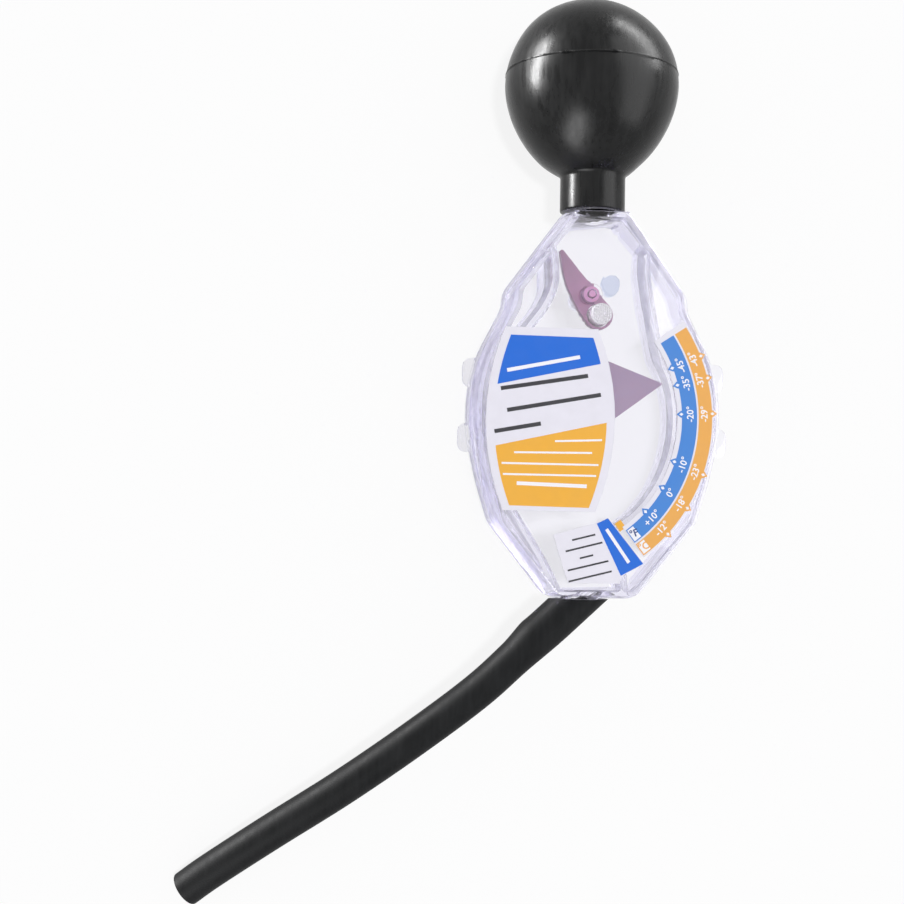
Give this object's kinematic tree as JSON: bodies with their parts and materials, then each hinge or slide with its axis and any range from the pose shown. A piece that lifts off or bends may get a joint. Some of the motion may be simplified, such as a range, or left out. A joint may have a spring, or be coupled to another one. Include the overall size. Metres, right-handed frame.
{
  "type": "antifreeze tester",
  "caption": "Dial antifreeze tester with a rubber squeeze bulb, a clear flat housing, weighted swinging pointers, adhesive labels and a rubber pickup hose.",
  "frame": {"origin": "on the surface that the bulb rests on, under the middle of the bulb, housing and nozzle; the free hose isn't counted", "axes": "+X right as the dial is read, +Y along the housing towards the bulb, +Z out of the dial's face"},
  "size_m": [0.1579, 0.2671, 0.0509],
  "materials": {
    "clear_plastic": "clear moulded plastic with a faint lavender tint",
    "mauve_plastic": "translucent mauve moulded plastic",
    "steel": "bright turned steel",
    "bulb_rubber": "smooth glossy black rubber",
    "hose_rubber": "satin black rubber",
    "label_film": "printed adhesive label, satin"
  },
  "bodies": {
    "housing": {"front_shell": "clear_plastic", "back_shell": "clear_plastic", "squeeze_bulb": "bulb_rubber", "pickup_hose": "hose_rubber", "title_label": "label_film", "scale_label": "label_film", "mix_label": "label_film", "pointer_axle": "steel", "level_axle": "steel"},
    "dial_pointer": {"dial_pointer": "mauve_plastic", "pointer_weight": "steel"},
    "level_arm": {"level_arm": "mauve_plastic", "level_weight": "steel"}
  },
  "joints": [
    {"name": "pointer_swing", "type": "hinge", "parent": "housing", "child": "dial_pointer", "pos_m": [-0.016, -0.02825, 0.02546], "axis": [0, 0, 1], "range_deg": [-69.6, 20.4]},
    {"name": "level_swing", "type": "hinge", "parent": "housing", "child": "level_arm", "pos_m": [-0.00254, 0.00735, 0.02546], "axis": [0, 0, 1], "range_deg": [-61.4, 0]}
  ]
}
